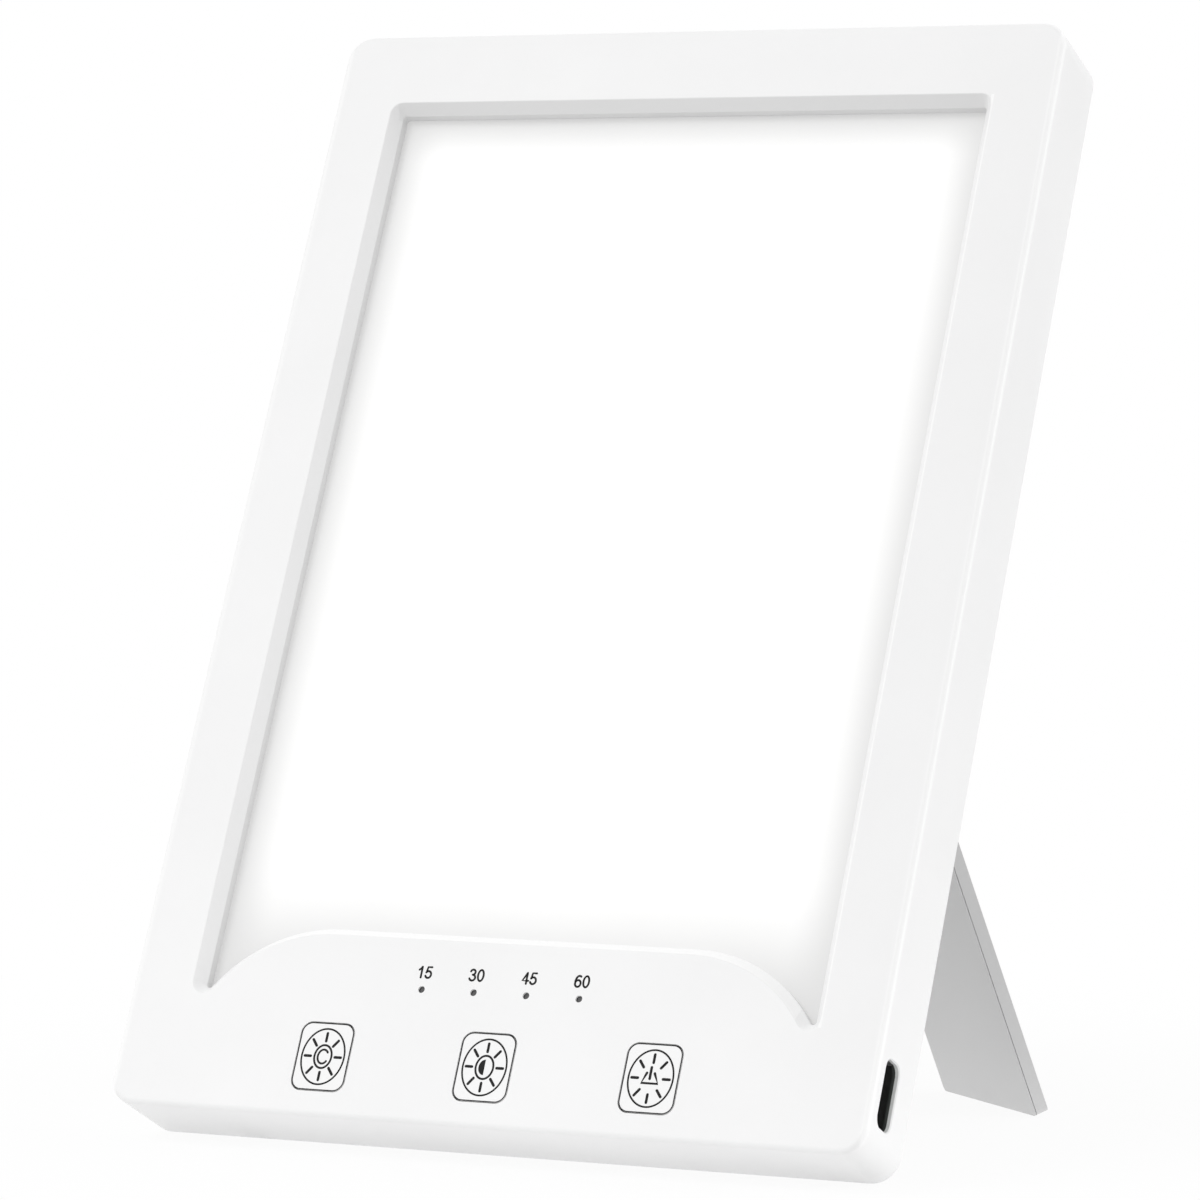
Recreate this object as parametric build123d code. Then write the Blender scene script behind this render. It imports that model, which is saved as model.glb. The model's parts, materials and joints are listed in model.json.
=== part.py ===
from build123d import *
import os
from math import cos, radians, sin

# Light therapy lamp: a flat lighting panel that leans back on a fold-out leg.
# Millimetres. The case is drawn upright with its face on the XZ plane: X to the right,
# Y the depth behind the face, Z up from the lower edge. It is leaned back at the end,
# so that the lower rear edge and the foot of the leg stand on Z = 0.

# ---- stance ----
LEAN = 26.0             # angle between the case and the vertical
OPEN_ANGLE = 60.0       # angle that the leg turns through to open
HINGE_ANGLE = 45.0      # slope of the hinge line below the horizontal

# ---- case ----
CASE_W = 161.0
CASE_H = 236.0
CASE_T = 18.6
CASE_R = 5.4            # corners seen from the front
FACE_EDGE_R = 1.0       # rounding of the face's outer edges
EDGE_R = 0.6            # rounding of the rear edges
SIDE_WALL = 2.2
FACE_WALL = 2.0
RIM_WALL = 1.2          # thin rim round the cover
COVER_T = 2.0
COVER_GAP = 0.15        # round the cover, inside the rim

# ---- window ----
WINDOW_SIDE = 13.2      # margin left and right of the window
WINDOW_TOP = 15.8       # margin above it
WINDOW_R = 2.6          # radius of its corners and lower pockets
WINDOW_EDGE_R = 0.3     # rounding of its front edge
ARCH_TOP = 37.0         # height of the control area's arched top edge
ARCH_R = 30.0           # radius of the arch's shoulders
ARCH_SWEEP = 54.4       # angle that each shoulder turns through
BEVEL_DEPTH = 2.5
BEVEL_INSET = 1.9       # how far the sloping wall leans in over its depth
STEP_DEPTH = 0.2        # straight wall behind the slope
RIB_T = 2.0             # frame behind the window, outside the face's edge
SHEET_LAP = 2.5         # how far the sheets reach behind the frame

# ---- sheets, front to back ----
GASKET_T = 2.0
DIFFUSER_T = 2.0
FILM_T = 0.25
GUIDE_T = 3.0
REFLECTOR_T = 0.25
SPREADER_T = 1.0

# ---- edge lights ----
CHIP_GAP = 0.3          # between the light guide and the chips
CHIP_T = 1.0
CHIP_W = 2.8
CHIP_L = 3.5
CHIP_COUNT = 24
BAR_T = 1.0
BAR_W = 3.6
BAR_LOW = 38.0          # height of the bars' lower ends
BAR_HIGH = CASE_H - 22.0
BAR_PAD = 5.0           # bare lower end, where the cable is soldered
CABLE_T = 0.3
CABLE_W = 2.8
CABLE_BEND = 2.0
CABLE_Z = 18.6          # height of the cables' run to the board
CABLE_RUN = 2.5         # right cable's straight run to its connector
CONNECTOR_L = 4.0
CONNECTOR_W = 3.6
CONNECTOR_T = 3.0

# ---- keys ----
KEY_W = 11.4
KEY_H = 13.7
KEY_R = 2.2
KEY_GAP = 0.2
KEY_PITCH = 35.0
KEY_Z = 12.0
KEY_T = 3.0             # from the face to the back of the flange
KEY_FLANGE = 1.0        # how far the flange reaches behind the face
KEY_TRAVEL = 0.4
PRESS_MARGIN = 0.2      # left in the switch when the key is down
KEY_REST_GAP = 0.15     # between the flange and the face
STEM_R = 1.6
STEM_L = 1.7
ACTUATOR_R = 1.2
ACTUATOR_L = 2.2
SWITCH_W = 6.0
SWITCH_T = 3.3
RUNNING_GAP = 0.05      # radial, for pieces that slide or turn in a bore

# ---- indicators ----
DOT_R = 0.65
DOT_PITCH = 11.25
DOT_Z = 26.8
DOT_RECESS = 0.45
PIPE_R = 0.9
PIPE_FLANGE_R = 1.2
PIPE_FLANGE_T = 0.8
PIPE_END_GAP = 0.1
LAMP_L = 1.6
LAMP_W = 0.8
LAMP_T = 0.6

# ---- main board ----
BOARD_FRONT = 8.6       # depth of its front surface
BOARD_T = 1.6
BOARD_LEFT = -54.0
BOARD_EDGE_GAP = 0.8    # to the case's right wall
BOARD_LOW = 5.0
BOARD_R = 1.5
BOARD_STEP = 20.5       # height of the long part
BOARD_HIGH = 32.0       # height of the part behind the indicators
BOARD_NECK = 30.0       # half width of that part
BOARD_SCREW_IN = 7.5    # from the board's left end
SOCKET_SCREW_IN = 21.3  # from the inner right wall, clear of the socket
BOARD_SCREW_Z = 9.0
CHIP_IC = 5.0
CHIP_IC_T = 1.0
COIL_W = 6.0
COIL_T = 2.8
CAP_R = 2.0
CAP_T = 2.6
CAP_X = 6.0             # from the nearest screw

# ---- USB socket and its port ----
PORT_Z = 13.8
PORT_L = 13.2
PORT_W = 6.9
PORT_R = 2.1
PORT_EDGE = 0.25
PORT_WALL = 0.9         # case wall at the port
PORT_RELIEF = 1.6       # margin of the thinned wall inside it
USB_L = 7.35
USB_W = 8.94
USB_H = 3.2
USB_WALL = 0.3
USB_GAP = 0.3           # between the socket's mouth and the case wall's inner face
TONGUE_L = 5.6
TONGUE_W = 6.6
TONGUE_T = 0.7

# ---- screws ----
SCREW_R = 1.0
SCREW_HEAD_R = 1.9
SCREW_HEAD_T = 1.1
SCREW_L = 8.0
BOARD_SCREW_L = 6.5
SCREW_GAP = 0.05
BOSS_R = 2.9
BOARD_BOSS_R = 2.2
BOSS_INSET = 2.4        # from the inner side walls
BOSS_LOW = 27.0
BOSS_HIGH_INSET = 7.0   # from the case's upper edge
DRIVE_R = 0.9           # cross in the screw heads
DRIVE_W = 0.45
DRIVE_T = 0.6

# ---- leg ----
LEG_W = 40.0
LEG_X = 17.6            # middle of the folded leg
LEG_T = 3.0
LEG_R = 0.9             # rounding of the foot's corners
HINGE_Z = 166.3         # height of the hinge line's middle
AXIS_DEPTH = 2.5        # of the hinge axis, below the rear face
SHOULDER = 5.0          # from the hinge axis to the full width
HEEL = 2.9              # stop beyond the hinge axis
HEEL_T = 2.0
KNUCKLE_R = 2.2
KNUCKLE_L = 28.0
SKIN_T = 0.2            # cover plate on the leg's inner face
GROOVE_W = 0.15
GROOVE_DEPTH = 0.3
PIN_R = 1.0
PIN_FIT = 0.02
PIN_OVERHANG = 0.4
WASHER_T = 0.4
END_PLAY = 0.15
LUG_T = 1.2
LUG_R = 2.4
BRACKET_T = 0.8
BRACKET_END = 5.2       # beyond each lug
BRACKET_W = 8.0
BRACKET_GAP = 0.4       # between the knuckle and the bracket
STAKE_R = 0.9
STAKE_HEAD_R = 1.5
STAKE_HEAD_T = 0.5
STAKE_SPREAD = 4.2      # between a pair of stakes
RECESS_GAP = 1.0        # round the folded leg
RECESS_FLOOR_GAP = 0.4  # under the folded leg
RECESS_WALL = 1.4
POCKET_END_GAP = 0.6
POCKET_HEEL_GAP = 1.7
POCKET_WALL = 1.2
NOTCH_R = 9.0           # finger notch beside the leg
NOTCH_Z = 30.0
POST_R = 2.5            # posts that hold the sheets down
POST_X = 56.0
POST_Z = (60.0, 118.0, 200.0)

# ---- depths that follow ----
SEAT = BEVEL_DEPTH + STEP_DEPTH
DIFFUSER_Y = SEAT + GASKET_T
FILM_Y = DIFFUSER_Y + DIFFUSER_T
GUIDE_Y = FILM_Y + FILM_T
REFLECTOR_Y = GUIDE_Y + GUIDE_T
SPREADER_Y = REFLECTOR_Y + REFLECTOR_T
SPREADER_BACK = SPREADER_Y + SPREADER_T
BOARD_BACK = BOARD_FRONT + BOARD_T
COVER_Y = CASE_T - COVER_T
AXIS_Y = CASE_T - AXIS_DEPTH
LEG_IN = CASE_T - LEG_T                     # inner face of the folded leg
RECESS_Y = LEG_IN - RECESS_FLOOR_GAP        # floor of the leg's recess
BRACKET_TOP = AXIS_Y - KNUCKLE_R - BRACKET_GAP
POCKET_Y = BRACKET_TOP - BRACKET_T          # floor of the hinge pocket
PORT_Y = BOARD_FRONT - USB_H / 2
PORT_X = CASE_W / 2 - PORT_WALL             # inner face of the case wall at the port

# ---- other places that follow ----
INNER_X = CASE_W / 2 - SIDE_WALL
BOSS_Z = (BOSS_LOW, CASE_H / 2, CASE_H - BOSS_HIGH_INSET)
BOARD_SCREW_X = (BOARD_LEFT + BOARD_SCREW_IN, -KEY_PITCH / 2,
                 KEY_PITCH / 2, INNER_X - SOCKET_SCREW_IN)
SHEET_INSET = BEVEL_INSET - SHEET_LAP
SHEET_X = CASE_W / 2 - WINDOW_SIDE - SHEET_INSET
CHIP_X = SHEET_X + CHIP_GAP
BAR_X = CHIP_X + CHIP_T
FLANGE_X = BAR_X + BAR_T
BAR_Y = SPREADER_Y - BAR_W
BOSS_X = INNER_X - BOSS_INSET
LUG_X = KNUCKLE_L / 2 + WASHER_T + 2 * END_PLAY
BRACKET_L = 2 * (LUG_X + LUG_T + BRACKET_END)
HINGE_DIR = Vector(cos(radians(HINGE_ANGLE)), 0, -sin(radians(HINGE_ANGLE)))
HINGE = Plane(origin=(LEG_X, AXIS_Y, HINGE_Z), x_dir=HINGE_DIR, z_dir=(0, 1, 0))

KEYS = {"colour": -KEY_PITCH, "brightness": 0.0, "power": KEY_PITCH}
DOTS = {minutes: (index - 1.5) * DOT_PITCH for index, minutes in enumerate(("15", "30", "45", "60"))}
SIDES = {"left": -1, "right": 1}


# ---- helpers ----

def slab(outline, front, back):
    """Solid with an outline drawn in X and Z, from one depth to another."""
    return extrude(Plane.XZ.offset(-front) * outline, amount=front - back)


def disc(x, z, radius, front, back):
    return slab(Pos(x, z) * Circle(radius), front, back)


def block(x0, x1, y0, y1, z0, z1):
    middle = Pos((x0 + x1) / 2, (y0 + y1) / 2, (z0 + z1) / 2)
    return middle * Box(x1 - x0, y1 - y0, z1 - z0)


def hinge_box(along, r0, r1, s0, s1, middle=0.0):
    """Box at the hinge: along the axis, r towards the foot, s out of the back."""
    return HINGE * Pos(middle, (r0 + r1) / 2, (s0 + s1) / 2) * Box(along, r1 - r0, s1 - s0)


def hinge_rod(radius, length, middle=0.0):
    return HINGE * Pos(middle, 0, 0) * Rot(0, 90, 0) * Cylinder(radius, length)


def peg(place, radius, length):
    """Cylinder standing on a place."""
    return place * Cylinder(radius, length, align=(Align.CENTER, Align.CENTER, Align.MIN))


def case_outline(inset=0.0):
    width = CASE_W - 2 * inset
    height = CASE_H - 2 * inset
    return Pos(0, CASE_H / 2) * RectangleRounded(width, height, CASE_R - inset)


def window_outline(inset):
    """Window with an arched lower edge, its sides moved in by inset."""
    corner_x = CASE_W / 2 - WINDOW_SIDE - WINDOW_R
    upper_z = CASE_H - WINDOW_TOP - WINDOW_R
    sweep = radians(ARCH_SWEEP)
    arch_x = corner_x - (ARCH_R + WINDOW_R) * sin(sweep)
    arch_z = ARCH_TOP - ARCH_R
    pocket_z = arch_z + (ARCH_R + WINDOW_R) * cos(sweep)
    radius = WINDOW_R - inset
    start = 90 - ARCH_SWEEP
    half = Curve() + [
        Line((0, upper_z + radius), (corner_x, upper_z + radius)),
        CenterArc((corner_x, upper_z), radius, 0, 90),
        Line((corner_x + radius, upper_z), (corner_x + radius, pocket_z)),
        CenterArc((corner_x, pocket_z), radius, start - 180, 180 - start),
        CenterArc((arch_x, arch_z), ARCH_R + inset, start, ARCH_SWEEP),
        Line((arch_x, ARCH_TOP + inset), (0, ARCH_TOP + inset)),
    ]
    return make_face(half + mirror(half, Plane.YZ))


def key_outline(x, margin=0.0):
    width = KEY_W + 2 * margin
    height = KEY_H + 2 * margin
    return Pos(x, KEY_Z) * RectangleRounded(width, height, KEY_R + margin)


def screw(x, z, head_y, length):
    """Pan-head screw driven towards the face, its head's underside at head_y."""
    body = disc(x, z, SCREW_R, head_y - length, head_y)
    body += disc(x, z, SCREW_HEAD_R, head_y, head_y + SCREW_HEAD_T)
    cross = Rectangle(2 * DRIVE_R, DRIVE_W) + Rectangle(DRIVE_W, 2 * DRIVE_R)
    top = head_y + SCREW_HEAD_T
    return body - slab(Pos(x, z) * cross, top - DRIVE_T, top)


def cover_screw_places():
    return [(side * BOSS_X, z) for side in SIDES.values() for z in BOSS_Z]


# ---- case ----

def boss(x, z, radius, back, screw_length):
    hole = disc(x, z, SCREW_R + SCREW_GAP, back - screw_length, back)
    return disc(x, z, radius, FACE_WALL, back) - hole


def port_slot(x, margin=0.0):
    """Outline of the port at x, grown by margin."""
    slot = RectangleRounded(PORT_W + 2 * margin, PORT_L + 2 * margin, PORT_R + margin)
    return Plane.YZ.offset(x) * Pos(PORT_Y, PORT_Z) * slot


def port_cut():
    """Slot with a thinned wall round it inside and a lead-in outside."""
    relief = extrude(port_slot(INNER_X, PORT_RELIEF), amount=SIDE_WALL - PORT_WALL)
    slot = extrude(port_slot(PORT_X), amount=PORT_WALL)
    lead_in = port_slot(CASE_W / 2 - PORT_EDGE).face()
    mouth = loft([lead_in, port_slot(CASE_W / 2, PORT_EDGE).face()], ruled=True)
    return relief + slot + mouth


def make_front_case():
    case = slab(case_outline(), 0, CASE_T)
    case = fillet(case.faces().sort_by(Axis.Y)[0].edges(), FACE_EDGE_R)
    case = fillet(case.faces().sort_by(Axis.Y)[-1].edges(), EDGE_R)
    case -= slab(case_outline(SIDE_WALL), FACE_WALL, CASE_T)
    case -= slab(case_outline(RIM_WALL), COVER_Y, CASE_T)
    case += slab(window_outline(-RIB_T), FACE_WALL, SEAT)
    for x, z in cover_screw_places():
        case += boss(x, z, BOSS_R, COVER_Y, SCREW_L)
    for x in BOARD_SCREW_X:
        case += boss(x, BOARD_SCREW_Z, BOARD_BOSS_R, BOARD_FRONT, BOARD_SCREW_L)
    face_edge = Plane.XZ * window_outline(0)
    slope_end = Plane.XZ.offset(-BEVEL_DEPTH) * window_outline(BEVEL_INSET)
    case -= loft([face_edge.face(), slope_end.face()], ruled=True)
    face = case.faces().sort_by(Axis.Y)[0]
    case = fillet(face.inner_wires()[0].edges(), WINDOW_EDGE_R)
    case -= slab(window_outline(BEVEL_INSET), BEVEL_DEPTH, SEAT)
    for x in KEYS.values():
        case -= slab(key_outline(x, KEY_GAP), 0, FACE_WALL)
    for x in DOTS.values():
        case -= disc(x, DOT_Z, DOT_R + RUNNING_GAP, 0, FACE_WALL)
    return case - port_cut()


def leg_outline(margin=0.0):
    """Folded leg below its shoulders, grown by margin."""
    left = LEG_X - LEG_W / 2
    right = LEG_X + LEG_W / 2
    feet = [(right, foot_z(right)), (left, foot_z(left))]
    shoulders = [(left, shoulder_z(left)), (right, shoulder_z(right))]
    outline = make_face(Polyline(*feet, *shoulders, close=True))
    outline = fillet(outline.vertices().sort_by(Axis.Y)[:2], LEG_R)
    return offset(outline, margin) if margin else outline


def make_back_cover():
    cover = slab(case_outline(RIM_WALL + COVER_GAP), COVER_Y, CASE_T)
    notch = Pos(LEG_X - LEG_W / 2 - RECESS_GAP, NOTCH_Z) * Circle(NOTCH_R)
    notch_wall = Pos(LEG_X - LEG_W / 2 - RECESS_GAP, NOTCH_Z) * Circle(NOTCH_R + RECESS_WALL)
    trough = leg_outline(RECESS_GAP + RECESS_WALL) + notch_wall
    recess = leg_outline(RECESS_GAP) + notch
    cover += slab(trough, RECESS_Y - RECESS_WALL, COVER_Y)
    length = BRACKET_L + 2 * POCKET_END_GAP
    near = -(HEEL + POCKET_HEEL_GAP)
    far = SHOULDER + RECESS_GAP
    floor = POCKET_Y - AXIS_Y
    cover += hinge_box(length + 2 * POCKET_WALL, near - POCKET_WALL, far + POCKET_WALL,
                       floor - POCKET_WALL, COVER_Y - AXIS_Y)
    for x, z in [(side * POST_X, z) for side in SIDES.values() for z in POST_Z]:
        cover += disc(x, z, POST_R, SPREADER_BACK, COVER_Y)
    cover -= slab(recess, RECESS_Y, CASE_T)
    cover -= hinge_box(length, near, far, floor, AXIS_DEPTH)
    for x, z in cover_screw_places():
        cover -= disc(x, z, SCREW_R + SCREW_GAP, COVER_Y, CASE_T)
        cover -= disc(x, z, SCREW_HEAD_R + SCREW_GAP, CASE_T - SCREW_HEAD_T, CASE_T)
    for place in stake_places():
        cover += peg(place, STAKE_R, BRACKET_T)
        cover += peg(place * Pos(0, 0, BRACKET_T), STAKE_HEAD_R, STAKE_HEAD_T)
    return cover


# ---- sheets ----

def sheet(front, thickness):
    return slab(window_outline(SHEET_INSET), front, front + thickness)


def make_gasket():
    ring = window_outline(SHEET_INSET) - window_outline(BEVEL_INSET)
    return slab(ring, SEAT, DIFFUSER_Y)


def make_heat_spreader():
    """Metal tray behind the sheets, with a flange behind each light bar."""
    tray = sheet(SPREADER_Y, SPREADER_T)
    for side in SIDES.values():
        wing = sorted((side * (SHEET_X - SHEET_LAP), side * (FLANGE_X + SPREADER_T)))
        lip = sorted((side * FLANGE_X, side * (FLANGE_X + SPREADER_T)))
        tray += block(*wing, SPREADER_Y, SPREADER_BACK, BAR_LOW, BAR_HIGH)
        tray += block(*lip, BAR_Y, SPREADER_BACK, BAR_LOW, BAR_HIGH)
    return tray


# ---- edge lights ----

def make_light_bar(side):
    return block(*sorted((side * BAR_X, side * FLANGE_X)), BAR_Y, SPREADER_Y, BAR_LOW, BAR_HIGH)


def make_light_chips(side):
    low = BAR_LOW + BAR_PAD
    pitch = (BAR_HIGH - low) / CHIP_COUNT
    middle_y = GUIDE_Y + GUIDE_T / 2
    chips = []
    for index in range(CHIP_COUNT):
        z = low + pitch * (index + 0.5)
        x = side * (CHIP_X + CHIP_T / 2)
        chips.append(Pos(x, middle_y, z) * Box(CHIP_T, CHIP_W, CHIP_L))
    return Compound(chips)


def connector_x(side):
    """Middle of a cable connector, at the board's left end or below the right light bar."""
    if side < 0:
        return BOARD_LEFT + CONNECTOR_L / 2
    return BAR_X - CABLE_BEND - CABLE_RUN - CONNECTOR_L / 2


def make_connector(side):
    x = connector_x(side)
    return block(x - CONNECTOR_L / 2, x + CONNECTOR_L / 2, BOARD_FRONT - CONNECTOR_T, BOARD_FRONT,
                 CABLE_Z - CONNECTOR_W / 2, CABLE_Z + CONNECTOR_W / 2)


def make_cable(side):
    """Flat cable, down from a light bar and across to its connector."""
    turn_x = BAR_X - CABLE_BEND
    turn_z = CABLE_Z - CABLE_T / 2 + CABLE_BEND
    top = BAR_LOW + BAR_PAD
    end = abs(connector_x(side)) + CONNECTOR_L / 2
    turn = Pos(side * turn_x, turn_z)
    quarter = Pos(side * CABLE_BEND / 2, -CABLE_BEND / 2) * Rectangle(CABLE_BEND, CABLE_BEND)
    path = turn * ((Circle(CABLE_BEND) - Circle(CABLE_BEND - CABLE_T)) & quarter)
    path += Pos(side * (BAR_X - CABLE_T / 2), (turn_z + top) / 2) * Rectangle(CABLE_T, top - turn_z)
    path += Pos(side * (end + turn_x) / 2, CABLE_Z) * Rectangle(turn_x - end, CABLE_T)
    back = GUIDE_Y + GUIDE_T / 2
    return slab(path, back - CABLE_W, back)


# ---- keys and switches ----

def make_key(x):
    flange_front = FACE_WALL + KEY_REST_GAP
    key = slab(key_outline(x), 0, KEY_T)
    key += slab(key_outline(x, KEY_FLANGE), flange_front, KEY_T)
    return key + disc(x, KEY_Z, STEM_R, KEY_T, KEY_T + STEM_L)


def make_actuator(x):
    front = KEY_T + STEM_L
    return disc(x, KEY_Z, ACTUATOR_R, front, front + ACTUATOR_L)


def make_switch(x):
    body = slab(Pos(x, KEY_Z) * Rectangle(SWITCH_W, SWITCH_W), BOARD_FRONT - SWITCH_T, BOARD_FRONT)
    hole_end = KEY_T + STEM_L + ACTUATOR_L + KEY_TRAVEL + PRESS_MARGIN
    return body - disc(x, KEY_Z, ACTUATOR_R + RUNNING_GAP, BOARD_FRONT - SWITCH_T, hole_end)


# ---- indicators ----

def make_light_pipe(x):
    pipe = disc(x, DOT_Z, DOT_R, DOT_RECESS, FACE_WALL)
    pipe += disc(x, DOT_Z, PIPE_FLANGE_R, FACE_WALL, FACE_WALL + PIPE_FLANGE_T)
    return pipe + disc(x, DOT_Z, PIPE_R, FACE_WALL + PIPE_FLANGE_T, BOARD_FRONT - LAMP_T - PIPE_END_GAP)


def make_indicator(x):
    return block(x - LAMP_L / 2, x + LAMP_L / 2, BOARD_FRONT - LAMP_T, BOARD_FRONT,
                 DOT_Z - LAMP_W / 2, DOT_Z + LAMP_W / 2)


# ---- main board ----

def make_main_board():
    right = INNER_X - BOARD_EDGE_GAP
    middle = Pos((BOARD_LEFT + right) / 2, (BOARD_LOW + BOARD_STEP) / 2)
    outline = middle * RectangleRounded(right - BOARD_LEFT, BOARD_STEP - BOARD_LOW, BOARD_R)
    neck = RectangleRounded(2 * BOARD_NECK, BOARD_HIGH - KEY_Z, BOARD_R)
    outline += Pos(0, (KEY_Z + BOARD_HIGH) / 2) * neck
    board = slab(outline, BOARD_FRONT, BOARD_BACK)
    for x in BOARD_SCREW_X:
        board -= disc(x, BOARD_SCREW_Z, SCREW_R + SCREW_GAP, BOARD_FRONT, BOARD_BACK)
    return board


def behind_board(x, z, width, thickness):
    return slab(Pos(x, z) * Rectangle(width, width), BOARD_BACK, BOARD_BACK + thickness)


def make_usb_shell():
    """Hollow rounded tube with its mouth towards the port."""
    mouth = INNER_X - USB_GAP
    outer = Pos(PORT_Y, PORT_Z) * SlotOverall(USB_W, USB_H, rotation=90)
    inner = Pos(PORT_Y, PORT_Z) * SlotOverall(USB_W - 2 * USB_WALL, USB_H - 2 * USB_WALL, rotation=90)
    tube = extrude(Plane.YZ.offset(mouth - USB_L) * outer, amount=USB_L)
    return tube - extrude(Plane.YZ.offset(mouth - USB_L + USB_WALL) * inner, amount=USB_L)


def make_usb_tongue():
    back = INNER_X - USB_GAP - USB_L + USB_WALL
    return block(back, back + TONGUE_L, PORT_Y - TONGUE_T / 2, PORT_Y + TONGUE_T / 2,
                 PORT_Z - TONGUE_W / 2, PORT_Z + TONGUE_W / 2)


# ---- leg and hinge ----

def shoulder_z(x):
    """Height of the leg's shoulders, which run parallel to the hinge line."""
    slope = radians(HINGE_ANGLE)
    return HINGE_Z - (SHOULDER + (x - LEG_X) * sin(slope)) / cos(slope)


def height_when_open(x, z):
    """Height above the face's lower edge of a point on the leg's inner face, leg open."""
    slope = radians(HINGE_ANGLE)
    turn = radians(OPEN_ANGLE)
    along = (x - LEG_X) * cos(slope) - (z - HINGE_Z) * sin(slope)
    below = -(x - LEG_X) * sin(slope) - (z - HINGE_Z) * cos(slope)
    out = LEG_IN - AXIS_Y
    below_open = below * cos(turn) - out * sin(turn)
    out_open = below * sin(turn) + out * cos(turn)
    depth = AXIS_Y + out_open
    up = HINGE_Z - along * sin(slope) - below_open * cos(slope)
    return up * cos(radians(LEAN)) - depth * sin(radians(LEAN))


def foot_z(x):
    """Height of the folded leg's foot at x, cut so that it stands flat when the leg is open."""
    lean = radians(LEAN)
    ground = EDGE_R * cos(lean) - (CASE_T - EDGE_R) * sin(lean) - EDGE_R
    base = height_when_open(x, 0)
    return (ground - base) / (height_when_open(x, 1) - base)


def make_leg():
    """Leg plate with its neck, knuckle and stop, folded."""
    groove_y = LEG_IN + SKIN_T
    plate_y = groove_y + GROOVE_W
    leg = slab(leg_outline(), plate_y, CASE_T)
    leg += slab(leg_outline(-GROOVE_DEPTH), groove_y, plate_y)
    leg += hinge_box(KNUCKLE_L, 0, SHOULDER + LEG_T, plate_y - AXIS_Y, AXIS_DEPTH)
    leg += hinge_box(KNUCKLE_L, -HEEL, 0, AXIS_DEPTH - HEEL_T, AXIS_DEPTH)
    leg += hinge_rod(KNUCKLE_R, KNUCKLE_L)
    return leg - hinge_rod(PIN_R + RUNNING_GAP, KNUCKLE_L)


def make_leg_skin():
    return slab(leg_outline(), LEG_IN, LEG_IN + SKIN_T)


def make_washer(side):
    middle = side * (KNUCKLE_L / 2 + END_PLAY + WASHER_T / 2)
    return hinge_rod(KNUCKLE_R, WASHER_T, middle) - hinge_rod(PIN_R + RUNNING_GAP, WASHER_T, middle)


def make_pin():
    return hinge_rod(PIN_R, 2 * (LUG_X + LUG_T + PIN_OVERHANG))


def stake_places():
    """Where the cover's heat stakes hold the bracket, on the pocket's floor."""
    x = LUG_X + LUG_T + BRACKET_END / 2
    floor = POCKET_Y - AXIS_Y
    return [HINGE * Pos(side * x, row * STAKE_SPREAD / 2, floor) for side in (-1, 1) for row in (-1, 1)]


def make_bracket():
    base = POCKET_Y - AXIS_Y
    bracket = hinge_box(BRACKET_L, -BRACKET_W / 2, BRACKET_W / 2, base, base + BRACKET_T)
    for side in (-1, 1):
        middle = side * (LUG_X + LUG_T / 2)
        bracket += hinge_box(LUG_T, -LUG_R, LUG_R, base + BRACKET_T, 0, middle)
        bracket += hinge_rod(LUG_R, LUG_T, middle)
        bracket -= hinge_rod(PIN_R + PIN_FIT, LUG_T, middle)
    for place in stake_places():
        bracket -= peg(place, STAKE_R + SCREW_GAP, BRACKET_T)
    return bracket


# ---- assembly ----

def fixed_nodes():
    board_x = BOARD_SCREW_X
    cover_screws = [screw(x, z, CASE_T - SCREW_HEAD_T, SCREW_L) for x, z in cover_screw_places()]
    board_screws = [screw(x, BOARD_SCREW_Z, BOARD_BACK, BOARD_SCREW_L) for x in board_x]
    nodes = {
        "front_case": make_front_case(),
        "back_cover": make_back_cover(),
        "panel_gasket": make_gasket(),
        "diffuser_panel": sheet(DIFFUSER_Y, DIFFUSER_T),
        "prism_film": sheet(FILM_Y, FILM_T),
        "light_guide": sheet(GUIDE_Y, GUIDE_T),
        "reflector_sheet": sheet(REFLECTOR_Y, REFLECTOR_T),
        "heat_spreader": make_heat_spreader(),
        "main_board": make_main_board(),
        "usb_shell": make_usb_shell(),
        "usb_tongue": make_usb_tongue(),
        "controller_chip": behind_board(board_x[1] / 2, KEY_Z, CHIP_IC, CHIP_IC_T),
        "driver_coil": behind_board((board_x[2] + board_x[3]) / 2, KEY_Z, COIL_W, COIL_T),
        "input_capacitor": disc(board_x[3] + CAP_X, KEY_Z, CAP_R, BOARD_BACK, BOARD_BACK + CAP_T),
        "output_capacitor": disc(board_x[0] + CAP_X, KEY_Z, CAP_R, BOARD_BACK, BOARD_BACK + CAP_T),
        "cover_screws": Compound(cover_screws),
        "board_screws": Compound(board_screws),
        "hinge_bracket": make_bracket(),
        "hinge_pin": make_pin(),
    }
    for name, side in SIDES.items():
        nodes["light_bar_" + name] = make_light_bar(side)
        nodes["light_chips_" + name] = make_light_chips(side)
        nodes["light_cable_" + name] = make_cable(side)
        nodes["cable_connector_" + name] = make_connector(side)
    for name, x in KEYS.items():
        nodes["switch_" + name] = make_switch(x)
    for name, x in DOTS.items():
        nodes["light_pipe_" + name] = make_light_pipe(x)
        nodes["indicator_" + name] = make_indicator(x)
    return nodes


def key_nodes():
    nodes = {}
    for name, x in KEYS.items():
        nodes["key_" + name] = make_key(x)
        nodes["actuator_" + name] = make_actuator(x)
    return nodes


def leg_nodes():
    """Leg pieces, turned from folded to open."""
    folded = {
        "stand_leg": make_leg(),
        "leg_skin": make_leg_skin(),
        "hinge_washer_left": make_washer(-1),
        "hinge_washer_right": make_washer(1),
    }
    axis = Axis(HINGE.origin, HINGE.x_dir)
    return {name: piece.rotate(axis, OPEN_ANGLE) for name, piece in folded.items()}


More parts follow.
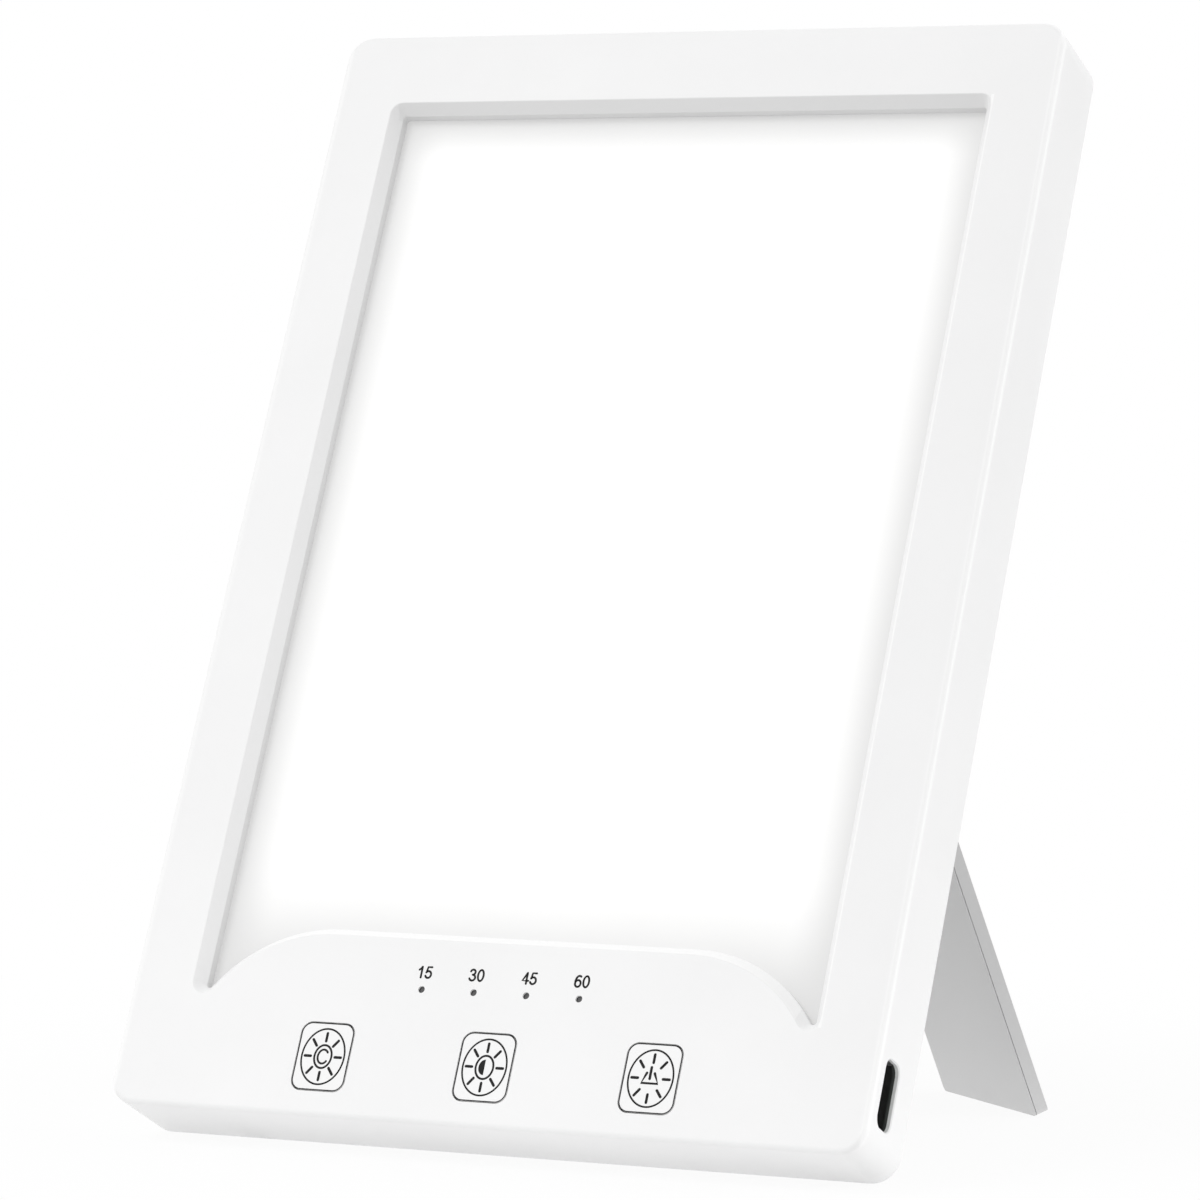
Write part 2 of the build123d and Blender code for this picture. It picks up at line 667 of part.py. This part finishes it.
def main():
    nodes = fixed_nodes() | key_nodes() | leg_nodes()
    leaned = {name: piece.rotate(Axis.X, -LEAN) for name, piece in nodes.items()}
    box = Compound([leaned["front_case"], leaned["stand_leg"], leaned["leg_skin"]]).bounding_box()
    to_origin = Pos(0, -box.center().Y, -box.min.Z)
    os.makedirs("parts", exist_ok=True)
    for name, piece in leaned.items():
        export_step(to_origin * piece, "parts/" + name + ".step")


if __name__ == "__main__":
    main()
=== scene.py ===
import json
from math import cos, pi, radians, sin

import bmesh
import bpy
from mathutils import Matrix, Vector


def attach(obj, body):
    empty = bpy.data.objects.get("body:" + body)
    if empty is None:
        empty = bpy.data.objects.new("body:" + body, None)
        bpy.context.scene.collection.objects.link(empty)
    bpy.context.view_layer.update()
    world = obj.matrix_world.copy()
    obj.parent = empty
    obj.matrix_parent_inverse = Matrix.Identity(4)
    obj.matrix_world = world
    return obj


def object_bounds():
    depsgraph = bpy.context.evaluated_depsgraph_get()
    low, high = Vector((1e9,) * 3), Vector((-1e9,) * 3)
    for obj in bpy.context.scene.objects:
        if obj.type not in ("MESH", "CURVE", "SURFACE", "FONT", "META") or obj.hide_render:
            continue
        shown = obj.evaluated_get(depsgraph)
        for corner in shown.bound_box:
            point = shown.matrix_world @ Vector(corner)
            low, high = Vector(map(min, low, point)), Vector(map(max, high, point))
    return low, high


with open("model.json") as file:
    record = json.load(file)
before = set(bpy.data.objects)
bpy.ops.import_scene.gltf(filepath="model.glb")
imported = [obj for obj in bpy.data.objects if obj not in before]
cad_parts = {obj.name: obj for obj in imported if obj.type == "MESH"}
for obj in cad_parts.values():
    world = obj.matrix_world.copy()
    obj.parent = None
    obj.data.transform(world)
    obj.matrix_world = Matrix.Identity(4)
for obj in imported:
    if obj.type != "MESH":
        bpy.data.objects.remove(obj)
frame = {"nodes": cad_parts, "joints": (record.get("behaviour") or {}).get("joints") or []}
cad_low, cad_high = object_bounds()

# Dresses the light therapy lamp: materials, printed marks, studio and camera.
# Blender works in metres. Places on the case are given in millimetres.

MM = 0.001

# ---- camera ----
CAMERA_PLACE = (0.4768, -1.0077, 0.1663)
CAMERA_AZIMUTH = 25.6
CAMERA_ELEVATION = 3.154
CAMERA_LENS = 167.34
SENSOR = 36.0

# ---- studio ----
FLOOR_SIZE = 12.0
FLOOR_DROP = 0.0002      # below the lamp's lowest point
FLOOR_GREY = 0.55        # in the light that it sends back to the lamp
FLOOR_PALE = 0.92        # as the camera sees it, with the lamp's shadow
GLOW_NEAR = 0.9          # share of plain white over it near the lamp
SHADOW_FADE = (0.05, 0.28)      # where that share rises to 1
# Middle, near distance, far distance and strength of the floor's soft pools of light.
FRONT_POOL = ((-0.05, -0.04, 0.0), 0.08, 0.33, 0.42)
LEG_POOL = ((0.06, 0.06, 0.0), 0.01, 0.07, 0.45)
WORLD_LIGHT = 0.77
# Place, target, size and power.
LAMPS = {
    "lamp_above": ((-0.6, -0.8, 1.2), (0, 0, 0.16), 0.95, 5.8),
    "lamp_behind": ((1.7, 0.45, 0.5), (0, 0, 0.1), 0.8, 9.0),
}

# ---- the case, in millimetres ----
CASE_W = 161.0
EDGE_HIGHLIGHT_BAND = (0.8, 1.6)   # where the painted highlight on the edges at the sides fades out
# Boxes with their ends along x, z and the depth behind the face.
# The window's upper slope, darkened as painted shade.
UPPER_SLOPE_PAINTED_SHADE = (-66.0, 66.0), (217.0, 224.0), (0.05, 3.0)
# The arch's slope, lightened as a painted highlight.
ARCH_SLOPE_PAINTED_HIGHLIGHT = (-62.0, 62.0), (18.0, 42.0), (0.05, 3.0)
# The window's right lip, lightened as a painted highlight.
RIGHT_LIP_PAINTED_HIGHLIGHT = (66.9, 67.6), (24.0, 220.0), (-0.1, 0.4)
# The case's inside behind the port, darkened as painted shade.
BEHIND_PORT_PAINTED_SHADE = (64.5, 79.58), (4.8, 22.8), (2.6, 17.2)

# ---- the lit panel ----
WINDOW_X = 65.4          # half width of the panel in the window
WINDOW_TOP = 218.3
ARCH_TOP = 38.9
# Distances inside the window's edge over which the light rises.
SIDE_RISE = (-2.5, 11.0)
TOP_RISE = (-2.0, 11.0)
LOW_RISE = (-14.0, 18.0)
PANEL_LIGHT = (0.36, 0.66)      # strength at the window's edge and in its middle
PANEL_TINT = (1.0, 0.998, 0.992, 1.0)
CELL = 0.5               # of the sheet's fine texture

# ---- the marks on the face, in millimetres ----
KEY_SIZE = (11.4, 13.7)
KEY_R = 2.2
KEY_Z = 12.0
KEYS = {"colour": -35.0, "brightness": 0.0, "power": 35.0}
MINUTES = {"15": -16.9, "30": -5.65, "45": 5.65, "60": 16.85}
NUMERAL_Z = 29.0
DIGIT_W = 1.6
DIGIT_PITCH = 1.7        # from one digit of a pair to the next
DIGIT_LINE = 0.42
RING = (4.62, 5.64)      # half width and half height
RING_LINE = 0.36
KEY_LINE = 0.22
INNER_RING = (1.85, 2.33)
INNER_LINE = 0.42
POWER_LINE = 0.54
HALF_DISC = (1.27, 1.55)
TONE_ARC = (1.12, 1.42, 38, 322)        # with its first and last angle
POWER_STEM = [(-0.19, 2.2), (-0.19, -0.05)]
POWER_BASE = [(-0.96, 1.06), (-1.78, -0.96), (1.62, -0.96), (0.67, 1.04)]
RAY_LINE = 0.55
RAYS = [
    ((0.0, 3.14), (0.0, 4.76)),
    ((1.75, 2.15), (2.72, 3.36)),
    ((2.58, 0.0), (3.92, 0.0)),
    ((1.75, -2.25), (2.72, -3.47)),
    ((0.0, -3.17), (0.0, -4.76)),
    ((-1.85, -2.25), (-2.8, -3.47)),
    ((-2.66, 0.0), (-3.96, 0.0)),
    ((-1.85, 2.15), (-2.8, 3.36)),
]
PRINT_LIFT = 0.02        # in front of the surface
PRINT_ROOT = 0.03        # behind it

# Digits as lines in a box 1.6 wide and 2.64 high. A line has its points, and a ring or an arc
# its middle, half width and half height, and an arc also its first and last angle.
DIGITS = {
    "0": [("ring", 0.8, 1.32, 0.58, 1.11)],
    "1": [("line", (0.4, 1.8), (0.7, 2.02), (0.96, 2.4)), ("line", (0.96, 2.4), (0.96, 0.21))],
    "3": [("arc", 0.74, 1.92, 0.5, 0.51, 165, -90), ("arc", 0.76, 0.8, 0.61, 0.59, 90, -162)],
    "4": [("line", (1.08, 0.21), (1.08, 2.4)), ("line", (1.08, 2.4), (0.22, 0.82), (1.44, 0.82))],
    "5": [("line", (1.32, 2.41), (0.5, 2.41), (0.32, 1.36)), ("arc", 0.76, 0.9, 0.61, 0.69, 142, -155)],
    "6": [("ring", 0.8, 0.88, 0.58, 0.67), ("arc", 0.94, 1.24, 0.72, 1.18, 62, 182)],
}


# ---- the case's own directions ----

def joint_axis(name):
    return Vector(next(j["axis"] for j in frame["joints"] if j["name"] == name)).normalized()


RIGHT = Vector((1, 0, 0))
INTO = joint_axis("brightness_press")
UP = RIGHT.cross(INTO)
CASE_POINTS = [v.co for v in frame["nodes"]["front_case"].data.vertices]
FACE = min(p.dot(INTO) for p in CASE_POINTS)
LOW = min(p.dot(UP) for p in CASE_POINTS)


def on_case(x, z, depth=0.0):
    """Point in the frame: x to the right, z up the face, depth behind it, in millimetres."""
    return RIGHT * (x * MM) + UP * (LOW + z * MM) + INTO * (FACE + depth * MM)


# ---- node helpers ----

class Tree:
    """Adds nodes to a material or world and links them by name."""

    def __init__(self, owner):
        owner.use_nodes = True
        self.tree = owner.node_tree
        self.tree.nodes.clear()

    def add(self, kind, **values):
        node = self.tree.nodes.new(kind)
        for key, value in values.items():
            setattr(node, key, value)
        return node

    def put(self, node, inputs):
        """Sets a node's inputs to numbers, or links them to another node's output."""
        for key, value in inputs.items():
            socket = node.inputs[key]
            if isinstance(value, bpy.types.NodeSocket):
                self.tree.links.new(value, socket)
            else:
                socket.default_value = value
        return node

    def math(self, operation, *values):
        node = self.add("ShaderNodeMath", operation=operation)
        return self.put(node, dict(enumerate(values))).outputs[0]

    def place(self):
        return self.add("ShaderNodeTexCoord").outputs["Object"]

    def noise(self, scale, detail=2.0, roughness=0.5, place=None):
        node = self.add("ShaderNodeTexNoise")
        self.put(node, {"Vector": place or self.place(), "Scale": scale, "Detail": detail,
                        "Roughness": roughness})
        return node.outputs["Fac"]

    def spread(self, value, low, high, start=0.0, end=1.0, smooth=False):
        """Value from start to end, moved to low to high."""
        node = self.add("ShaderNodeMapRange")
        node.interpolation_type = "SMOOTHSTEP" if smooth else "LINEAR"
        self.put(node, {"Value": value, "From Min": start, "From Max": end,
                        "To Min": low, "To Max": high})
        return node.outputs["Result"]

    def blend(self, factor, first, second):
        """Colour between two, by way of the mix node's colour sockets."""
        node = self.add("ShaderNodeMix", data_type="RGBA")
        self.put(node, {"Factor": factor, 6: first, 7: second})
        return node.outputs[2]

    def bump(self, height, strength, distance):
        node = self.add("ShaderNodeBump")
        self.put(node, {"Height": height, "Strength": strength, "Distance": distance})
        return node.outputs["Normal"]

    def output(self, shader):
        kind = "ShaderNodeOutputWorld" if isinstance(self.tree.id_data, bpy.types.World) else \
            "ShaderNodeOutputMaterial"
        self.put(self.add(kind), {"Surface": shader})


def grey(value):
    return (value, value, value, 1.0)


def tone(colour, factor):
    return tuple(min(1.0, c * factor) for c in colour[:3]) + (1.0,)


# ---- materials ----

def moulded(name, colour, rough=0.42, grain=0.22, depth=0.012, shift=0.02, painted_light_places=()):
    """Moulded plastic with a fine spark-eroded grain; sizes in millimetres.

    Places are pairs of a mask and a grey painted there over the plastic's colour, for painted light and
    shade.
    """
    material = bpy.data.materials.new(name)
    t = Tree(material)
    shader = t.add("ShaderNodeBsdfPrincipled")
    fine = t.noise(1.0 / (grain * MM), 3.0, 0.6)
    broad = t.noise(22.0, 4.0, 0.55)
    patches = t.spread(broad, 0.0, 1.0, 0.3, 0.7)
    base = t.blend(patches, tone(colour, 1 - shift), tone(colour, 1 + shift))
    for mask, value in painted_light_places:
        base = t.blend(mask(t), base, grey(value))
    wear = t.math("ADD", fine, t.math("MULTIPLY", broad, 0.5))
    t.put(shader, {
        "Base Color": base,
        "Roughness": t.spread(wear, rough - 0.05, rough + 0.07, 0.3, 1.2),
        "Normal": t.bump(fine, 0.5, depth * MM),
    })
    t.output(shader.outputs[0])
    return material


def metal(name, colour, rough=0.3, grain=0.15, stretch=(1.0, 1.0, 1.0), depth=0.004):
    """Plated or drawn metal with fine lines along one direction."""
    material = bpy.data.materials.new(name)
    t = Tree(material)
    shader = t.add("ShaderNodeBsdfPrincipled")
    mapping = t.add("ShaderNodeMapping")
    t.put(mapping, {"Vector": t.place(), "Scale": stretch})
    lines = t.noise(1.0 / (grain * MM), 3.0, 0.6, mapping.outputs[0])
    broad = t.noise(60.0, 3.0)
    t.put(shader, {
        "Base Color": t.blend(broad, tone(colour, 0.93), tone(colour, 1.05)),
        "Metallic": 1.0,
        "Roughness": t.spread(lines, rough - 0.06, rough + 0.1, 0.3, 0.7),
        "Normal": t.bump(lines, 0.4, depth * MM),
    })
    t.output(shader.outputs[0])
    return material


def case_coordinate(t, direction, origin):
    """Distance along a direction from an origin, in millimetres."""
    node = t.add("ShaderNodeVectorMath", operation="DOT_PRODUCT")
    t.put(node, {0: t.place(), 1: tuple(direction)})
    return t.math("MULTIPLY", t.math("SUBTRACT", node.outputs["Value"], origin), 1 / MM)


def painted_edge_highlight(t):
    """1 on the rounded edges at the face's sides, where a highlight is painted into the colour."""
    side = t.math("SUBTRACT", CASE_W / 2, t.math("ABSOLUTE", case_coordinate(t, RIGHT, 0.0)))
    depth = case_coordinate(t, INTO, FACE)
    return t.spread(t.math("MAXIMUM", side, depth), 1.0, 0.0, *EDGE_HIGHLIGHT_BAND, smooth=True)


def inside(x_range, z_range, depth_range):
    """Mask that is 1 inside a box of the case's coordinates, in millimetres."""
    sides = ((RIGHT, 0.0, x_range), (UP, LOW, z_range), (INTO, FACE, depth_range))

    def mask(t):
        gaps = []
        for direction, origin, ends in sides:
            along = case_coordinate(t, direction, origin)
            gaps += [t.math("SUBTRACT", along, ends[0]), t.math("SUBTRACT", ends[1], along)]
        least = gaps[0]
        for gap in gaps[1:]:
            least = t.math("MINIMUM", least, gap)
        return t.spread(least, 0.0, 1.0, 0.0, 0.1)

    return mask


def opal_panel():
    """Lit opal sheet, a little dimmer near the window's edges, with a fine prism texture."""
    material = bpy.data.materials.new("opal_panel")
    t = Tree(material)
    shader = t.add("ShaderNodeBsdfPrincipled")
    x = t.math("ABSOLUTE", case_coordinate(t, RIGHT, 0.0))
    z = case_coordinate(t, UP, LOW)
    sides = t.spread(t.math("SUBTRACT", WINDOW_X, x), 0.0, 1.0, *SIDE_RISE, smooth=True)
    top = t.spread(t.math("SUBTRACT", WINDOW_TOP, z), 0.0, 1.0, *TOP_RISE, smooth=True)
    low = t.spread(t.math("SUBTRACT", z, ARCH_TOP), 0.0, 1.0, *LOW_RISE, smooth=True)
    lit = t.math("MULTIPLY", t.math("MULTIPLY", sides, top), low)
    cells = t.add("ShaderNodeTexVoronoi", feature="F1")
    t.put(cells, {"Vector": t.place(), "Scale": 1.0 / (CELL * MM)})
    patches = t.noise(30.0, 2.0)
    strength = t.math("ADD", t.spread(lit, *PANEL_LIGHT), t.spread(patches, -0.01, 0.01))
    t.put(shader, {
        "Base Color": t.blend(patches, grey(0.36), grey(0.4)),
        "Roughness": t.spread(patches, 0.42, 0.52),
        "Emission Color": PANEL_TINT,
        "Emission Strength": strength,
        "Normal": t.bump(cells.outputs["Distance"], 0.3, 0.01 * MM),
    })
    t.output(shader.outputs[0])
    return material


def ink(name, value):
    """Screen-printed ink, slightly uneven."""
    material = bpy.data.materials.new(name)
    t = Tree(material)
    shader = t.add("ShaderNodeBsdfPrincipled")
    speckle = t.noise(1.0 / (0.12 * MM), 3.0, 0.7)
    t.put(shader, {
        "Base Color": t.blend(speckle, grey(value * 0.8), grey(value * 1.25)),
        "Roughness": t.spread(speckle, 0.5, 0.65),
        "Specular IOR Level": 0.2,
        "Normal": t.bump(speckle, 0.3, 0.004 * MM),
    })
    t.output(shader.outputs[0])
    return material


MATERIALS = {
    # The case's places are painted light: a highlight on the side edges, shade on the upper slope,
    # highlights on the arch slope and right lip, shade behind the port.
    "white_case": moulded("case_white", (0.908, 0.908, 0.909),
                          painted_light_places=((painted_edge_highlight, 0.965), (inside(*UPPER_SLOPE_PAINTED_SHADE), 0.84),
                                  (inside(*ARCH_SLOPE_PAINTED_HIGHLIGHT), 0.975), (inside(*RIGHT_LIP_PAINTED_HIGHLIGHT), 0.98),
                                  (inside(*BEHIND_PORT_PAINTED_SHADE), 0.16))),
    "white_key": moulded("key_white", (0.908, 0.908, 0.909), rough=0.36, grain=0.18, depth=0.006),
    "grey_leg": moulded("leg_grey", (0.555, 0.555, 0.556), rough=0.4, grain=0.3, depth=0.012),
    "opal_sheet": opal_panel(),
    "clear_sheet": moulded("clear_sheet", (0.8, 0.83, 0.84), rough=0.15, grain=0.6, depth=0.002),
    "white_film": moulded("white_film", (0.86, 0.87, 0.88), rough=0.3, grain=0.4, depth=0.002),
    "foam": moulded("foam_grey", (0.78, 0.78, 0.78), rough=0.85, grain=0.35, depth=0.08),
    "spreader": metal("spreader_aluminium", (0.8, 0.81, 0.82), rough=0.34, stretch=(1, 1, 0.04)),
    "board": moulded("board_green", (0.04, 0.17, 0.08), rough=0.35, grain=0.5, depth=0.004),
    "cable": moulded("cable_white", (0.75, 0.75, 0.74), rough=0.45, grain=0.3, depth=0.005),
    "connector": moulded("connector_cream", (0.72, 0.69, 0.6), rough=0.4, grain=0.3, depth=0.006),
    "light_chip": moulded("chip_yellow", (0.85, 0.74, 0.3), rough=0.4, grain=0.2, depth=0.005),
    "black_part": moulded("part_black", (0.025, 0.025, 0.027), rough=0.45, grain=0.2, depth=0.006),
    "capacitor": metal("capacitor_can", (0.7, 0.71, 0.73), rough=0.3, grain=0.4),
    "steel": metal("steel_plated", (0.62, 0.63, 0.65), rough=0.28),
    "usb_steel": metal("socket_steel", (0.66, 0.66, 0.67), rough=0.25, stretch=(0.05, 1, 1)),
    "washer": moulded("washer_nylon", (0.8, 0.79, 0.75), rough=0.4, grain=0.3, depth=0.004),
    "smoked": moulded("pipe_smoked", (0.02, 0.02, 0.021), rough=0.3, grain=0.3, depth=0.002),
}
INK = ink("mark_ink", 0.008)


def dress_cad():
    for node in frame["nodes"].values():
        for slot in node.material_slots:
            slot.material = MATERIALS[slot.material.name]


# ---- printed marks ----

class Print:
    """Flat printed shapes on the case's face or a key, drawn in millimetres round a middle."""

    def __init__(self, x, z):
        self.x = x
        self.z = z
        self.mesh = bmesh.new()

    def point(self, x, z, depth):
        return on_case(self.x + x, self.z + z, depth)

    def shape(self, outline):
        """Closed outline, counter-clockwise from the front, given a thin body."""
        front = [self.mesh.verts.new(self.point(x, z, -PRINT_LIFT)) for x, z in outline]
        back = [self.mesh.verts.new(self.point(x, z, PRINT_ROOT)) for x, z in outline]
        self.mesh.faces.new(front)
        self.mesh.faces.new(back[::-1])
        for i in range(len(outline)):
            j = (i + 1) % len(outline)
            self.mesh.faces.new((front[i], back[i], back[j], front[j]))

    def band(self, outer, inner):
        """Closed band between two outlines with the same number of points."""
        rows = [[self.mesh.verts.new(self.point(x, z, depth)) for x, z in outline]
                for outline, depth in ((outer, PRINT_ROOT), (outer, -PRINT_LIFT),
                                       (inner, -PRINT_LIFT), (inner, PRINT_ROOT))]
        count = len(outer)
        for i in range(count):
            j = (i + 1) % count
            for a, b in zip(rows, rows[1:] + rows[:1]):
                self.mesh.faces.new((a[i], a[j], b[j], b[i]))

    def ring(self, half_w, half_h, line, middle=(0.0, 0.0)):
        self.band(ellipse(half_w + line / 2, half_h + line / 2, middle),
                  ellipse(half_w - line / 2, half_h - line / 2, middle))

    def stroke(self, points, line):
        """Open line through points, with round ends."""
        self.shape(outline_of(points, line / 2))

    def finish(self, name, body):
        bmesh.ops.recalc_face_normals(self.mesh, faces=self.mesh.faces)
        mesh = bpy.data.meshes.new(name)
        self.mesh.to_mesh(mesh)
        self.mesh.free()
        piece = bpy.data.objects.new(name, mesh)
        bpy.context.scene.collection.objects.link(piece)
        mesh.materials.append(INK)
        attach(piece, body)


def ellipse(half_w, half_h, middle=(0.0, 0.0), count=72):
    turns = [2 * pi * i / count for i in range(count)]
    return [(middle[0] + half_w * cos(a), middle[1] + half_h * sin(a)) for a in turns]


def arc(half_w, half_h, start, end, count=24):
    """Points on an ellipse from one angle to another, in degrees."""
    angles = [radians(start + (end - start) * i / count) for i in range(count + 1)]
    return [(half_w * cos(a), half_h * sin(a)) for a in angles]


def outline_of(points, radius, steps=6):
    """Outline of a line with round ends."""
    points = [Vector(p) for p in points]
    tangents = []
    for i in range(len(points)):
        before = points[max(i - 1, 0)]
        after = points[min(i + 1, len(points) - 1)]
        tangents.append((after - before).normalized())
    left = [p + Vector((-d.y, d.x)) * radius for p, d in zip(points, tangents)]
    right = [p - Vector((-d.y, d.x)) * radius for p, d in zip(points, tangents)]
    return right + cap(points[-1], tangents[-1], radius, steps) + left[::-1] + \
        cap(points[0], -tangents[0], radius, steps)


def cap(middle, direction, radius, steps):
    """Half circle round the end of a line, counter-clockwise, without its two ends."""
    side = Vector((direction.y, -direction.x))
    turns = [pi * i / (steps + 1) for i in range(1, steps + 1)]
    return [middle + side * (radius * cos(a)) + direction * (radius * sin(a)) for a in turns]


def rounded(width, height, radius, count=10):
    """Rounded rectangle round the middle, counter-clockwise."""
    points = []
    for turn, side_x, side_z in ((0, 1, 1), (90, -1, 1), (180, -1, -1), (270, 1, -1)):
        middle_x = side_x * (width / 2 - radius)
        middle_z = side_z * (height / 2 - radius)
        corner = arc(radius, radius, turn, turn + 90, count)
        points += [(middle_x + x, middle_z + z) for x, z in corner]
    return points


def key_mark(name):
    mark = Print(KEYS[name], KEY_Z)
    wide, high = KEY_SIZE
    mark.band(rounded(wide, high, KEY_R),
              rounded(wide - 2 * KEY_LINE, high - 2 * KEY_LINE, KEY_R - KEY_LINE))
    mark.ring(*RING, RING_LINE)
    for start, end in RAYS:
        mark.stroke([start, end], RAY_LINE)
    if name == "power":
        mark.stroke(POWER_STEM, POWER_LINE)
        mark.stroke(POWER_BASE, POWER_LINE)
    elif name == "brightness":
        mark.ring(*INNER_RING, INNER_LINE)
        mark.shape(arc(*HALF_DISC, 90, 270))
    else:
        mark.ring(*INNER_RING, INNER_LINE)
        mark.stroke(arc(*TONE_ARC), INNER_LINE)
    mark.finish(name + "_mark", name + "_key")


def numeral(text, x):
    """Two printed digits, centred at x."""
    mark = Print(x, NUMERAL_Z)
    left = -(DIGIT_PITCH * (len(text) - 1) + DIGIT_W) / 2
    for index, digit in enumerate(text):
        start = left + DIGIT_PITCH * index
        for kind, *values in DIGITS[digit]:
            if kind == "ring":
                middle_x, middle_z, half_w, half_h = values
                mark.ring(half_w, half_h, DIGIT_LINE, (start + middle_x, middle_z))
            elif kind == "arc":
                middle_x, middle_z, half_w, half_h, first, last = values
                bend = arc(half_w, half_h, first, last)
                mark.stroke([(start + middle_x + a, middle_z + b) for a, b in bend], DIGIT_LINE)
            else:
                mark.stroke([(start + a, b) for a, b in values], DIGIT_LINE)
    mark.finish("numeral_" + text, "case")


# ---- studio ----

def pool(t, middle, near, far, strength):
    """Soft round patch on the floor, fading out between two distances from its middle."""
    away = t.add("ShaderNodeVectorMath", operation="DISTANCE")
    t.put(away, {0: t.place(), 1: middle})
    return t.spread(away.outputs["Value"], strength, 0.0, near, far, smooth=True)


def seen_directly(t):
    """1 for the camera's rays and for those that are mirrored or pass through on the way."""
    path = t.add("ShaderNodeLightPath")
    seen = t.math("MAXIMUM", path.outputs["Is Camera Ray"], path.outputs["Is Glossy Ray"])
    return t.math("MAXIMUM", seen, path.outputs["Is Transmission Ray"])


def make_floor():
    """White floor with a faint shadow, which lights the lamp from below in two soft pools."""
    bpy.ops.mesh.primitive_plane_add(size=FLOOR_SIZE, location=(0, 0, cad_low.z - FLOOR_DROP))
    floor = bpy.context.object
    floor.name = "floor"
    material = bpy.data.materials.new("floor_white")
    t = Tree(material)
    diffuse = t.add("ShaderNodeBsdfDiffuse")
    t.put(diffuse, {"Color": grey(FLOOR_GREY)})
    away = t.add("ShaderNodeVectorMath", operation="LENGTH")
    t.put(away, {0: t.place()})
    pools = t.add("ShaderNodeEmission")
    strength = t.math("ADD", pool(t, *FRONT_POOL), pool(t, *LEG_POOL))
    t.put(pools, {"Color": grey(1.0), "Strength": strength})
    lit = t.add("ShaderNodeAddShader")
    t.put(lit, {0: diffuse.outputs[0], 1: pools.outputs[0]})
    glow = t.add("ShaderNodeEmission")
    t.put(glow, {"Color": grey(1.0), "Strength": 1.0})
    pale = t.add("ShaderNodeBsdfDiffuse")
    t.put(pale, {"Color": grey(FLOOR_PALE)})
    share = t.spread(away.outputs["Value"], GLOW_NEAR, 1.0, *SHADOW_FADE, smooth=True)
    view = t.add("ShaderNodeMixShader")
    t.put(view, {0: share, 1: pale.outputs[0], 2: glow.outputs[0]})
    mix = t.add("ShaderNodeMixShader")
    t.put(mix, {0: seen_directly(t), 1: lit.outputs[0], 2: view.outputs[0]})
    t.output(mix.outputs[0])
    floor.data.materials.append(material)


def make_world():
    """Soft light all round, and plain white where the camera sees it."""
    world = bpy.data.worlds.new("studio")
    bpy.context.scene.world = world
    t = Tree(world)
    light = t.add("ShaderNodeBackground")
    t.put(light, {"Color": grey(1.0), "Strength": WORLD_LIGHT})
    white = t.add("ShaderNodeBackground")
    t.put(white, {"Color": grey(1.0), "Strength": 1.0})
    mix = t.add("ShaderNodeMixShader")
    t.put(mix, {0: seen_directly(t), 1: light.outputs[0], 2: white.outputs[0]})
    t.output(mix.outputs[0])


def softbox(name, place, target, size, power):
    data = bpy.data.lights.new(name, "AREA")
    data.shape = "DISK"
    data.size = size
    data.energy = power
    lamp = bpy.data.objects.new(name, data)
    bpy.context.scene.collection.objects.link(lamp)
    lamp.location = place
    lamp.rotation_euler = (Vector(target) - Vector(place)).to_track_quat("-Z", "Y").to_euler()


def make_camera():
    data = bpy.data.cameras.new("camera")
    data.lens = CAMERA_LENS
    data.sensor_width = SENSOR
    data.clip_start = 0.01
    camera = bpy.data.objects.new("camera", data)
    bpy.context.scene.collection.objects.link(camera)
    camera.location = CAMERA_PLACE
    camera.rotation_euler = (radians(90 - CAMERA_ELEVATION), 0, radians(CAMERA_AZIMUTH))
    bpy.context.scene.camera = camera


dress_cad()
for key_name in KEYS:
    key_mark(key_name)
for minutes, place_x in MINUTES.items():
    numeral(minutes, place_x)
make_floor()
make_world()
for lamp_name, values in LAMPS.items():
    softbox(lamp_name, *values)
make_camera()
bpy.context.scene.view_settings.view_transform = "Standard"
